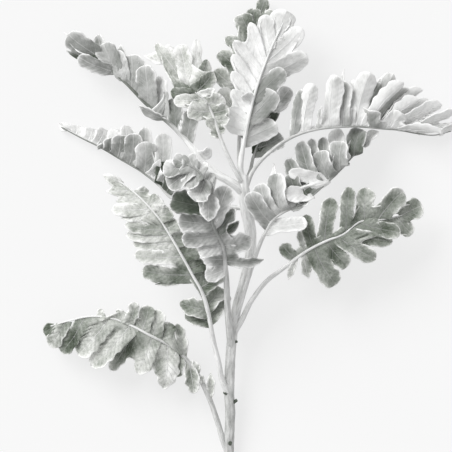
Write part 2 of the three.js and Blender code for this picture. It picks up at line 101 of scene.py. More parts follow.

# Each frond: the slot of its finish, its stalk's radius, the tones of stalk and midrib, how strong its
# frills and for some its folds are, its midrib, the station where the blade begins, how far along
# neighbouring lobes are joined (left of the midrib and elsewhere, with other shares after single lobes
# as cuts), which way its green face looks at base and tip, and its lobes: station, tip in x and y,
# rise, width, tone from 0 for bare dark green to 1 for dense white felt, and for some a turn about
# their length in degrees and how pointed they are. The tones also hold painted shade: lobes that lie
# in shade or turn away from the lamp are given darker tones than their felt alone would give them.
FRONDS = {}
FRONDS["leaf_lower_left"] = dict(
    slot="leaf_green_face", stalk=1.85, stalk_tone=(0.8, 1), calm=1,
    rib=((-3, 14, 5.5), (-6, 23, 7), (-8.7, 32.4, 9), (-13.5, 46.2, 13), (-19.8, 59.4, 17),
        (-28.8, 71.4, 20), (-38.4, 78.6, 22), (-48.9, 84, 23), (-61.8, 90.6, 23), (-73.2, 94.4, 22),
        (-85.2, 95, 20), (-97.2, 92.4, 17), (-108, 89.2, 14)),
    blade=5.4, join=(0.66, 0.84), face=((0.1, 0.3, 1), (-0.2, 0.5, 1)),
    lobes=((3, -12.8, 61, 3, 5, 0.68), (3.7, -18.4, 60.4, 3, 3, 0.53), (4.1, -22.9, 69.2, 2, 5, 0.63),
        (4.7, -23, 50, -3, 9, 0.68, 0, 0.4), (5, -32.9, 90.4, 4, 6.6, 0.54),
        (5.2, -35, 60.4, -4, 8.6, 0.46), (5.5, -36, 73, 1, 4, 0.38),
        (6, -40.8, 53.2, -6, 15, 0.7, 0, 0.6), (6.4, -37.6, 91.6, 4, 10, 0.52),
        (6.85, -43.6, 99, 4, 11, 0.58), (6.9, -55.6, 62, -5, 12.5, 0.62, 0, 0.3),
        (7.4, -50, 101.4, 4, 10, 0.63), (7.7, -72, 64.6, -8, 8.4, 0.5),
        (7.9, -82.8, 66.6, -4, 12.5, 0.68), (8, -57.4, 103.8, 5, 7, 0.58), (8.5, -64, 98.6, 3, 9, 0.68),
        (9, -91, 73.2, -4, 12.5, 0.72), (9.6, -76, 97, 1, 8, 0.78), (10.2, -101.4, 74.4, -4, 10, 0.5),
        (11.2, -108, 78, -3, 9.6, 0.46), (11.8, -111.8, 85.4, -2, 8, 0.28)),
)
FRONDS["leaf_left"] = dict(
    slot="leaf_green_face", stalk=1.85, stalk_tone=(0.96, 1), calm=0.8,
    rib=((-3, 50, 12), (-6.4, 59, 16), (-8.1, 68.4, 20), (-11, 80.4, 24), (-13.5, 94.2, 29),
        (-16.8, 108, 33), (-22.8, 119.4, 36), (-29.4, 131.4, 38), (-36, 142.8, 39), (-42, 152.2, 39),
        (-48.6, 160.4, 38), (-56.4, 168, 36), (-64, 174, 33), (-71.6, 178, 30.5)),
    blade=4.6, join=(0.8, 0.84), face=((-0.1, -0.1, 1), (-0.3, 0.2, 1)),
    cuts={4.4: 0.12, 6.1: 0.3, 7: 0.42, 7.7: 0.6, 8.1: 0.6, 8.4: 0.5, 9.7: 0.7},
    lobes=((3.85, -26.6, 98, -3, 9, 0.28), (3.9, -3.2, 108.5, -9, 8.5, 0.43),
        (4.4, -30.6, 103.8, -1, 12, 0.47, 0, 0.6), (4.55, -6.4, 112, -9, 10, 0.45),
        (5.4, -8, 121, -3, 11, 0.5), (6, -44.8, 114.8, -3, 3.4, 0.38), (6.1, -52.2, 123, -3, 10.8, 0.47),
        (6.4, -17, 128, -2, 9, 0.38), (7, -57, 132.4, -2, 9, 0.68), (7.05, -21, 135.5, -2, 10, 0.38),
        (7.7, -58, 139, -3, 6.6, 0.66), (7.75, -28, 143, -1, 9.5, 0.55),
        (8.1, -61.8, 144.4, -3, 7.6, 0.72), (8.4, -62.6, 149.8, -3, 7, 0.56),
        (8.5, -32, 151.6, 0, 9.5, 0.65), (9.3, -36.5, 158.6, 0, 10, 0.65), (9.7, -65, 154, -3, 6, 0.68),
        (9.9, -70.6, 159.4, -3, 8, 0.79), (10.1, -42.5, 165.6, 0, 10, 0.69),
        (10.8, -68.4, 164.2, -3, 5, 0.79), (11.2, -49.4, 170.6, -1, 5.6, 0.73),
        (11.4, -74, 170, -3, 4.6, 0.73), (12.1, -76, 179.6, -2, 5, 0.75)),
)
FRONDS["leaf_far_left"] = dict(
    slot="leaf_grey", stalk=1.5, stalk_tone=(0.85, 0.45), calm=0.4,
    rib=((7, 160, 27), (-4, 161, 23), (-12, 162, 22), (-20.4, 163.2, 21), (-35.4, 166.2, 19),
        (-44.4, 174.8, 16.5), (-54.6, 182.6, 14), (-66, 189.2, 11.4), (-78.6, 196.6, 8.4),
        (-91.2, 202.8, 5.8), (-102, 208.6, 4.4)),
    blade=4, join=(0.5, 0.94), cuts={5.8: 0.5, 4.9: 0.3, 6.6: 0.7, 7.2: 0.82},
    face=((-0.2, -0.8, 0.6), (0.2, -0.5, 1)),
    lobes=((4.4, -35.6, 181, 2, 9, 0.36), (4.7, -41, 187.6, 1, 10.5, 0.12),
        (4.9, -41.4, 203.8, -3, 10.4, 0.74), (5, -39.8, 181, 5, 5.6, 0.72),
        (5.6, -43, 188.6, 5.4, 5.6, 0.94), (5.8, -52, 199, 3, 12.6, 0.64),
        (6.1, -52, 207.8, -4, 8.4, 0.76), (6.6, -59, 204, 3, 11, 0.6), (6.8, -63.8, 208.8, -4, 8.6, 0.76),
        (7.2, -66.8, 203.4, 3, 11, 0.6), (7.5, -70.4, 207.2, -4, 9, 0.94), (7.6, -73, 201.8, 3, 9, 0.52),
        (7.9, -78, 198.8, 2, 7, 0.48), (8.2, -76.6, 207.4, -4, 9, 0.92), (8.6, -84, 207.8, -4, 9, 0.98),
        (9.2, -93, 209.4, -3.6, 8, 0.98), (9.7, -103.6, 210.6, -3.6, 4.4, 0.9)),
)
FRONDS["leaf_upper_left"] = dict(
    slot="leaf_grey", stalk=2.9, stalk_tone=(0.97, 0.36), calm=0.5,
    rib=((6.6, 169, 30), (3, 172.8, 32), (-1.2, 175.8, 33), (-9.6, 180.6, 33.5), (-16.2, 185.4, 33),
        (-20.4, 190.8, 31.5), (-25.8, 199, 29), (-32.4, 206.4, 27), (-39, 212.4, 25), (-47.4, 219.4, 23),
        (-53.4, 224.8, 21), (-61.8, 233.6, 19), (-70.8, 242, 17), (-80.8, 252.4, 15.5), (-92, 262, 14.5)),
    blade=5.6, join=(0.7, 0.62), cuts={8.1: 0.12, 6.2: 0.1, 7.1: 0.2, 11.8: 0.85, 12.6: 0.5},
    face=((-0.3, -0.6, 0.8), (-0.3, -0.5, 1)),
    lobes=((5.1, -12.6, 194, -2, 7, 0.9), (6.2, -24.2, 217.6, 3, 10, 0.6), (6.7, -28.4, 217, 1, 3.6, 1),
        (7.1, -34.8, 225, -3, 10.6, 0.4), (8.1, -55.4, 220.8, 3, 6.4, 0.6),
        (8.4, -44, 237.4, -3, 12, 0.75), (9.4, -51.6, 244.2, 3, 13, 0.66),
        (10.8, -59.6, 250.8, 1, 15, 0.64), (11.25, -69.4, 253.2, 0.6, 11, 0.72),
        (11.5, -66.6, 257.2, -5, 6.4, 0.6), (11.8, -76.4, 257.8, 1, 13.4, 0.61),
        (12, -90.8, 250, 3, 9.6, 0.61), (12.3, -99.4, 264.4, -6, 4, 0.94),
        (12.4, -98, 253.8, -5, 5, 0.24), (12.6, -80.2, 263, -1, 7.4, 0.66),
        (12.8, -97, 263.4, 2.6, 14.6, 0.6)),
)
FRONDS["leaf_young_left"] = dict(
    slot="leaf_green_face", stalk=1.5, stalk_tone=(0.9, 0.8), calm=0.8,
    rib=((5.4, 176, 33), (2.8, 180.4, 35), (-0.8, 187.4, 36), (-6, 199.2, 36.5), (-10.2, 211.8, 37),
        (-15, 222.6, 36.5), (-21, 228, 35.5), (-26.4, 232.2, 34), (-32.4, 239.4, 31.5),
        (-40.2, 247.8, 28)),
    blade=3.6, join=(0.85, 0.8), cuts={4.9: 0.5, 5.6: 0.4, 6.15: 0.3, 5.4: 0.85, 7.1: 0.6},
    face=((0, 0, 1), (0.3, -0.3, 1)),
    lobes=((3.3, -13, 204.6, 1, 4, 0.6), (3.5, -4.4, 207, 2, 4, 0.6), (3.9, -15.6, 211.8, 2, 5.6, 0.68),
        (4, -1.6, 213, 3, 6, 0.72), (4.4, -2.6, 219.4, 1, 9, 0.62), (4.5, -25.8, 218.6, 3, 11, 0.74),
        (4.9, -6.4, 226.6, 3, 10, 0.68), (5.4, -34, 223.8, 2, 8, 0.82), (5.6, -10.8, 227.4, 1, 6, 0.5),
        (5.9, -36, 228.8, 1, 8, 0.42), (5.95, -10.4, 230.4, 5.2, 4.8, 0.98),
        (6.15, -11.6, 240.4, -2, 10.5, 0.56, 0, 0.5), (6.5, -15, 247.6, -8, 8.6, 0.52, 0, 0.3),
        (6.8, -21.4, 259, -8, 6.6, 0.88), (7.1, -31, 256, -3, 10.4, 0.92), (7.6, -45, 257, -3, 7, 0.7),
        (8.6, -38.6, 257, -6, 6.4, 0.95), (8.8, -51.6, 250.8, -8, 3, 0.88)),
)
FRONDS["leaf_crinkled"] = dict(
    slot="leaf_grey", stalk=2.3, stalk_tone=(0.8, 0.6), calm=0.75, fold=1.5,
    rib=((-0.6, 77, 15), (-1.6, 88, 22), (-2.6, 99, 28), (-3.2, 114, 36), (-3.9, 126.6, 43),
        (-5.2, 137, 49), (-8.6, 144.4, 54), (-11.6, 152, 59), (-12.6, 162, 64.4), (-14.4, 172, 68),
        (-19, 180.6, 70), (-27, 185.6, 69.6)),
    blade=3.6, join=(0.5, 0.5), cuts={6.2: 0.3, 7: 0.2},
    face=((0, -0.6, 1), (-0.3, 0.6, 1)),
    lobes=((3.8, -15.6, 119.6, -3, 9, 0.75), (4.2, 18, 129.2, 0, 6.4, 0.53, 20),
        (4.3, -16.4, 130.6, -2, 8, 0.63), (4.7, 2.2, 137.8, 3, 4.6, 0.63),
        (5.1, 11, 141.6, -1, 12, 0.62, 0, 0.3), (5.2, -19.6, 135.6, 1, 11.4, 0.72),
        # the narrow dark lobe at station 5.7 is a sheet of painted shade, standing for the shadow in the
        # gap between its neighbours
        (5.7, 3.6, 151.8, -5, 5, 0.23), (6, -28.8, 142.4, 1, 11, 0.66, -20),
        (6.2, 2, 158.6, 3, 9, 0.42, -30), (6.9, -31, 152.8, 1, 11.6, 0.6, -22),
        (7, -3, 172, 1, 12, 0.74, 14), (7.9, -35, 164.6, -4, 14, 0.18),
        (8.6, -14, 152.6, 6, 13, 0.74, -12, 0.7), (9.2, -12.6, 180.4, -3, 8, 0.77),
        (9.5, -21, 164, 7, 12.6, 0.69, -12), (10, -17, 186.6, -3, 8, 0.77),
        (10.1, -26, 171.4, 5, 11, 0.59), (10.5, -26, 190, -2, 10, 0.61), (10.6, -37, 172.6, 2, 12, 0.63),
        (10.8, -34, 189, -1, 9, 0.59), (10.9, -40, 181.6, 1, 11.6, 0.65)),
)
FRONDS["leaf_top_white"] = dict(
    slot="leaf_white_felt", stalk=2.2, stalk_tone=(0.98, 0.95), calm=0.4,
    rib=((6.2, 177, 30.4), (4.9, 184.5, 31.2), (6.9, 198, 31.5), (9.2, 209.5, 31), (11.2, 218.6, 30.5),
        (13.8, 228.6, 29.5), (18, 241.2, 28), (23.4, 255, 26), (29, 267, 23.5), (31.6, 273, 22.4)),
    blade=1.6, join=(0.6, 1), cuts={5.8: 0.7, 6.3: 0.8, 6.4: 0.85, 6.9: 0.75, 7.4: 0.75},
    face=((0.1, 0, -1), (0.2, 0.2, -1)),
    # the lobes at stations 2.3 and 3.3 are given grey tones for the shade they lie in: painted shade
    lobes=((2.3, 25.6, 210, -2, 12, 0.62), (2.7, -3.4, 209.8, 1, 8.4, 0.95, 0, 0.5),
        (3.2, -1, 219.4, 1, 7.6, 0.93), (3.3, 24.6, 229, 0, 14, 0.54), (3.8, 0.6, 230, 1, 7.6, 0.92),
        (4.4, 7.6, 227.6, 4.8, 6.8, 0.72), (4.5, 0.6, 240.6, 1, 7.6, 0.92),
        (4.7, 30.2, 242, 1, 11, 0.45, -16), (5.2, 0.8, 250.6, 0, 7.6, 0.92),
        (5.8, 43.8, 250.4, -1, 12.6, 0.73, 12), (5.9, 1.8, 259, -1, 8, 0.88),
        (6.3, 11.2, 269.6, -1, 7.2, 0.88), (6.4, 41, 266.2, -2, 11, 0.85, 10),
        (6.9, 19.6, 274.4, -2, 10, 0.86), (7.4, 31.8, 277.2, -1, 15, 0.84)),
)
FRONDS["leaf_top_back"] = dict(
    slot="leaf_green_face", stalk=1.4, stalk_tone=(0.8, 0.6), calm=0.6,
    rib=((5.4, 175, 27), (4.4, 183, 24.6), (4, 192, 23), (4.4, 206, 22), (4.8, 225, 18.5),
        (8.4, 249, 13.5), (13, 266, 9.5), (17.4, 277, 7)),
    blade=2.8, join=(0.62, 0.62), face=((0, 0.2, 1), (0.1, 0.3, 1)),
    lobes=((3.6, -7, 230, 0, 10, 0.76), (4.2, -10, 242, 0, 10, 0.62), (4.6, 14, 246, -3, 9, 0.6),
        (4.7, -7.4, 252.8, 1, 9.5, 0.46), (5.3, -3.4, 261.8, 0, 7.6, 0.46), (5.5, 21, 262, -2, 9, 0.5),
        (5.8, 5.2, 275.4, -1, 12, 0.46), (6.2, 12.6, 279, -1, 9.4, 0.42), (6.4, 25, 277, 0, 7.8, 0.56),
        (6.8, 19.6, 285.4, -1, 7.4, 0.48)),
)
FRONDS["leaf_back_right"] = dict(
    slot="leaf_grey", stalk=1.3, stalk_tone=(0.6, 0.6), calm=0.5,
    rib=((8.2, 175.4, 26.8), (11, 183, 24.6), (13, 192, 23), (17.5, 204, 21), (22, 214, 19.5),
        (27.4, 223.6, 18)),
    blade=1.8, join=(0.4, 0.4), face=((0.2, 0, 1), (0.2, 0.2, 1)),
    lobes=((2, 19.6, 204.8, -2, 7.4, 0.1), (2.1, 22, 196, -2, 8, 0.86), (2.3, 29.6, 202.4, 1, 11.6, 0.48),
        (2.6, 7, 206, -2, 8, 0.3), (3.6, 13, 219, -2, 8, 0.6), (4, 28.6, 220.6, -1, 5, 0.15),
        (4.3, 33.8, 223.4, -1, 5, 0.8), (4.6, 34, 231, -1, 9.4, 0.74), (4.7, 22.5, 232, -2, 7, 0.5)),
)
FRONDS["leaf_upper_right"] = dict(
    slot="leaf_white_felt", stalk=1.4, stalk_tone=(0.8, 0.6), calm=0.5, fold=2,
    rib=((8.2, 171.5, 29.4), (12.6, 182.4, 31), (21.6, 192.6, 32), (35.4, 202.2, 31), (49.2, 206.8, 28),
        (64.2, 208.6, 24), (76.8, 208.8, 20), (90.6, 207.6, 15.5), (99, 207, 12.5), (110.4, 205, 9.8),
        (121, 204, 7.2), (131, 206.4, 5.4)),
    blade=3, join=(0.36, 0.36),
    cuts={3.5: 0.25, 4.15: 0.1, 4.6: 0.1, 7.9: 0.6, 8.9: 0.7, 10.3: 0.8},
    face=((0.2, 0.9, -0.3), (0.3, 0.8, -0.5)),
    lobes=((3.12, 41.4, 229.6, -1, 7.4, 0.52), (3.5, 47.6, 233, 2.5, 9.8, 0.84),
        (4.15, 53.2, 220, 1, 3.4, 0.6), (4.6, 60.8, 238.2, 1, 12, 0.76, -10),
        (5.05, 66.6, 241.8, -5, 3.2, 0.66), (5.15, 67, 235, -2, 10, 0.56),
        (5.45, 72.2, 236, -4, 8.6, 0.78), (5.65, 74.2, 233.4, -6, 3.6, 0.36),
        (5.8, 81.8, 239.8, 3, 12.4, 0.84, 10), (6.05, 88, 234, -1.6, 8.6, 0.44),
        (6.3, 101.4, 234, 4, 10.4, 0.95, 12), (6.35, 89.6, 237.6, -6, 3.4, 0.45),
        (6.4, 82.2, 217.8, 5, 13, 0.52), (6.5, 95.8, 239.2, -5, 10.4, 0.72),
        (6.6, 104.4, 230.6, -1, 9, 0.47), (7, 113, 230, -4, 10, 0.84), (7.1, 110.4, 224.6, 3, 10, 0.99),
        (7.5, 101.4, 216, 5, 10, 0.8), (7.6, 117, 223.6, -2, 9, 0.92), (7.9, 124.2, 221.4, 1, 10.4, 0.99),
        (8, 124.4, 204.4, 5, 8, 0.79), (8.9, 135, 217, 0, 11, 0.99),
        (10.3, 138.6, 208.8, -1.6, 10, 0.98)),
)
FRONDS["leaf_middle_right"] = dict(
    slot="leaf_grey", stalk=1.6, stalk_tone=(0.92, 0.5), calm=0.5, fold=1.4,
    rib=((2.6, 95, 17.6), (4.7, 102, 22.6), (7, 109.6, 25.5), (10.2, 120, 27.5), (14, 131.6, 29),
        (17.4, 140.6, 30), (20.6, 146.6, 31.5), (24.8, 152.8, 33), (31.2, 157.4, 33), (40.8, 161.6, 32),
        (49.2, 168.2, 30), (56.4, 174.6, 27.5), (63, 180.6, 24.5), (71.4, 189.6, 19), (78, 196, 14.5),
        (84, 202.4, 12)),
    blade=6.2, join=(0.45, 0.45), face=((-0.5, 0.6, 0.7), (-0.5, 0.5, 0.9)),
    lobes=((6.3, 43.8, 151, 3, 11.4, 0.88), (6.7, 11, 168.8, 4, 11.4, 0.62),
        (7.2, 17, 173.8, -1, 11, 0.71), (7.8, 27.8, 179.8, 2, 13, 0.65), (8, 24.8, 185.6, -5, 5, 0.85),
        (8.4, 44, 166, -2, 11, 0.66), (9.2, 34.6, 179.6, -1, 10, 0.4),
        (9.9, 32.4, 168.6, 6.6, 9.8, 1, -40), (9.85, 33.6, 188.8, -5, 9, 0.48),
        (10.4, 41.2, 198.8, -5, 10, 0.58), (11.3, 34.4, 181.4, 6, 8, 1, -44),
        (11, 47.4, 200.2, -8, 7.6, 0.55), (11.35, 53.4, 193.6, -1, 12, 0.54),
        (11.7, 54.2, 201.4, -8, 8, 0.55), (12.2, 65.4, 199.2, 1, 13.6, 0.66),
        (12.6, 62, 206.4, -8, 10, 0.91), (13.2, 77, 206.4, -1, 13, 0.4), (14.1, 86.8, 205.6, -3, 7, 0.9)),
)
FRONDS["leaf_lower_right"] = dict(
    slot="leaf_green_face", stalk=1.8, stalk_tone=(0.94, 0.94), calm=0.6,
    rib=((1.6, 86, 16), (5.6, 93, 19), (8.8, 99.6, 20.5), (12.6, 106.4, 22.5), (20.4, 116.4, 25),
        (31.2, 124.8, 27), (39.6, 131.4, 28), (48, 136.8, 29), (57, 141, 29), (66.6, 144.8, 29),
        (72, 149.4, 28), (77.4, 152.4, 27), (85.8, 152.8, 26), (94.8, 154.2, 24), (103, 156.4, 22)),
    blade=5.2, join=(0.42, 0.5), cuts={5.8: 0.3, 6.5: 0.2, 7.05: 0.2, 7.8: 0.16, 9.2: 0.34},
    face=((0, -0.3, 1), (0.1, 0, 1)),
    lobes=((5.8, 30, 138.4, 2, 8, 0.41), (5.9, 33.6, 118.2, -3, 4, 0.69), (6.4, 45.6, 118.8, -5, 6, 0.69),
        (6.5, 40, 147, -2, 4, 0.54), (7.05, 44, 155.4, 1, 8.2, 0.29), (7.1, 61.4, 115.2, -5, 12.6, 0.49),
        (7.8, 59.2, 165.4, 1, 9.8, 0.47), (7.9, 68.6, 126.4, -4, 9.6, 0.41),
        (8.6, 84.8, 130.4, -2, 9.6, 0.49), (9.2, 69.8, 171.8, 1, 8.8, 0.39),
        (9.3, 94.6, 140.6, -4, 8.6, 0.47), (10.7, 99.2, 145.6, -1, 9.6, 0.44),
        (11.2, 80.6, 171.2, 1, 11, 0.49), (12.1, 101, 169.8, 1, 12.8, 0.52),
        (13.4, 107, 145, -2, 9, 0.58), (13.6, 112.6, 161.4, -1, 12.4, 0.55)),
)


# ---- Curves ----

def unit(v):
    return v / np.maximum(np.linalg.norm(v, axis=-1, keepdims=True), 1e-9)


def square_to(direction, axis):
    """Part of a direction that is square to another one, made one long."""
    return unit(direction - (direction * axis).sum(-1, keepdims=True) * axis)


class Spine:
    """A smooth curve through points: station 2.5 lies half way from point 2 to point 3."""

    def __init__(self, points):
        self.points = np.array(points, float)
        self.last = len(points) - 1
        self.fine = np.linspace(0, self.last, 40 * self.last + 1)
        steps = np.linalg.norm(np.diff(self.at(self.fine), axis=0), axis=1)
        self.run = np.concatenate([[0], np.cumsum(steps)])

    def _pieces(self, station):
        pts = self.points
        station = np.clip(np.asarray(station, float), 0, self.last)
        i = np.minimum(station.astype(int), self.last - 1)
        ahead = np.vstack([2 * pts[0] - pts[1], pts, 2 * pts[-1] - pts[-2]])
        p0, p1, p2, p3 = (ahead[i + k] for k in range(4))
        slope1, slope2 = 0.5 * (p2 - p0), 0.5 * (p3 - p1)
        cubic = 2 * p1 - 2 * p2 + slope1 + slope2
        square = -3 * p1 + 3 * p2 - 2 * slope1 - slope2
        return (station - i)[..., None], p1, slope1, square, cubic

    def at(self, station):
        t, start, slope, square, cubic = self._pieces(station)
        return start + slope * t + square * t**2 + cubic * t**3

    def along(self, station):
        t, _, slope, square, cubic = self._pieces(station)
        return unit(slope + 2 * square * t + 3 * cubic * t**2)

    def beside(self, station, way):
        """Point this far along the curve from a station, straight on beyond its ends."""
        wanted = np.interp(station, self.fine, self.run) + way
        reached = np.clip(wanted, 0, self.run[-1])
        place = np.interp(reached, self.run, self.fine)
        return self.at(place) + self.along(place) * (wanted - reached)[..., None]


def facing(frond, rib):
    """Tells for each station of a midrib which way the green face of its frond looks."""
    low, high = (np.array(f, float) for f in frond["face"])

    def face_at(station):
        t = np.asarray(station, float)[..., None] / rib.last
        return unit(low * (1 - t) + high * t)

    return face_at


def through(outline, shares):
    """Values of an outline at these shares of its length, eased from point to point."""
    xs, ys = np.array(outline, float).T
    i = np.clip(np.searchsorted(xs, shares, side="right") - 1, 0, len(xs) - 2)
    return ys[i] + (ys[i + 1] - ys[i]) * ease(xs[i], xs[i + 1], shares)


def ease(low, high, x):
    t = np.clip((x - low) / (high - low), 0, 1)
    return t * t * (3 - 2 * t)


def crinkle(points):
    """Unevenness of a blade at each point: waves of a few lengths that cross each other."""
    draw = np.random.RandomState(7)
    total = 0
    for length, height in WAVES:
        for _ in range(7):
            way = draw.normal(size=3)
            way *= 2 * pi / (length * draw.uniform(0.8, 1.3) * np.linalg.norm(way))
            total = total + height / 2 * np.sin(points @ way + draw.uniform(0, 2 * pi))
    return total


# ---- Meshes ----

def put(name, data):
    """A new object of the scene that holds this mesh, lamp or camera."""
    made = bpy.data.objects.new(name, data)
    bpy.context.scene.collection.objects.link(made)
    return made


def add_piece(name, mesh, node):
    """Adds a finished mesh as a piece that takes the place of a node of the frame."""
    piece = put(name, mesh)
    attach(piece, "root")
    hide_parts(node)


def add_mark(mesh, name, values):
    """Writes a number at each point of a mesh, for its finish or its hairs to read."""
    attribute = mesh.attributes.new(name, "FLOAT", "POINT")
    attribute.data.foreach_set("value", values.astype(np.float32))


def sheets_mesh(name, sheets):
    """One mesh of closed sheets, with its marks for the finishes."""
    verts, faces, uv, marks = zip(*sheets)
    starts = np.cumsum([0, *map(len, verts)])
    faces = np.concatenate([part + start for part, start in zip(faces, starts)])
    verts, uv, marks = map(np.concatenate, (verts, uv, marks))
    mesh = bpy.data.meshes.new(name)
    mesh.from_pydata(((verts + CENTRE) * MM).tolist(), [], faces.tolist())
    mesh.polygons.foreach_set("use_smooth", np.ones(len(faces), bool))
    corner = np.zeros(len(mesh.loops), np.int32)
    mesh.loops.foreach_get("vertex_index", corner)
    layer = mesh.uv_layers.new(name="blade")
    layer.data.foreach_set("uv", uv[corner].astype(np.float32).ravel())
    for mark, values in zip(("edge", "tone", "under", "relief"), marks.T):
        add_mark(mesh, mark, values)
    return mesh


def volume_of(verts, faces):
    """Six times the volume inside these faces, positive if they face outward."""
    a, b, c, d = (verts[faces[:, k]] - verts.mean(0) for k in range(4))
    return (np.cross(a, b) * c).sum() + (np.cross(a, c) * d).sum()


def sheet_normals(middle, like):
    """Normals of a grid of points on the side that `like` is on."""
    down, across = np.gradient(middle, axis=0), np.gradient(middle, axis=1)
    normal = np.cross(down, across)
    spread = np.linalg.norm(normal, axis=-1, keepdims=True) > 1e-4
    normal = np.where(spread, unit(normal), like)
    normal = normal * np.where((normal * like).sum(-1, keepdims=True) < 0, -1, 1)
    return unit(normal + 0.15 * like)


def close_sheet(middle, like, outward, thickness, *marks):
    """Closed sheet over a grid of points, with a margin that bulges out between its faces."""
    rows, columns = middle.shape[:2]
    out, way, edge, tone, relief = (np.broadcast_to(mark, (rows, columns)).ravel() for mark in marks)
    normal = sheet_normals(middle, np.broadcast_to(like, middle.shape))
    under = rows * columns
    index = np.arange(under).reshape(rows, columns)
    corners = index[:-1, :-1], index[1:, :-1], index[1:, 1:], index[:-1, 1:]
    top = np.stack(corners, -1).reshape(-1, 4)
    bottom = top[:, [0, 3, 2, 1]] + under
    loop = np.concatenate([index[0, :-1], index[:-1, -1], index[-1, :0:-1], index[:0:-1, 0]])
    n = len(loop)
    rim = 2 * under + np.arange(n)
    after = np.roll(np.arange(n), -1)
    upper_wall = np.stack([loop, loop[after], rim[after], rim], 1)
    lower_wall = np.stack([rim, rim[after], loop[after] + under, loop + under], 1)
    half = np.asarray(thickness / 2)[..., None] * normal
    margin = middle + outward * EDGE_BULGE
    upper, lower, margin = (part.reshape(-1, 3) for part in (middle + half, middle - half, margin))
    uv = np.stack([out, way], 1)
    marks = [np.stack([edge, tone, np.full(under, side), relief], 1) for side in (0.0, 1.0)]
    marks.append(np.stack([np.zeros(n), tone[loop], np.full(n, 0.5), relief[loop]], 1))
    verts = np.concatenate([upper, lower, margin[loop]])
    faces = np.concatenate([top, bottom, upper_wall, lower_wall])
    if volume_of(verts, faces) < 0:
        faces = faces[:, ::-1]
    return verts, faces, np.concatenate([uv, uv, uv[loop]]), np.concatenate(marks)


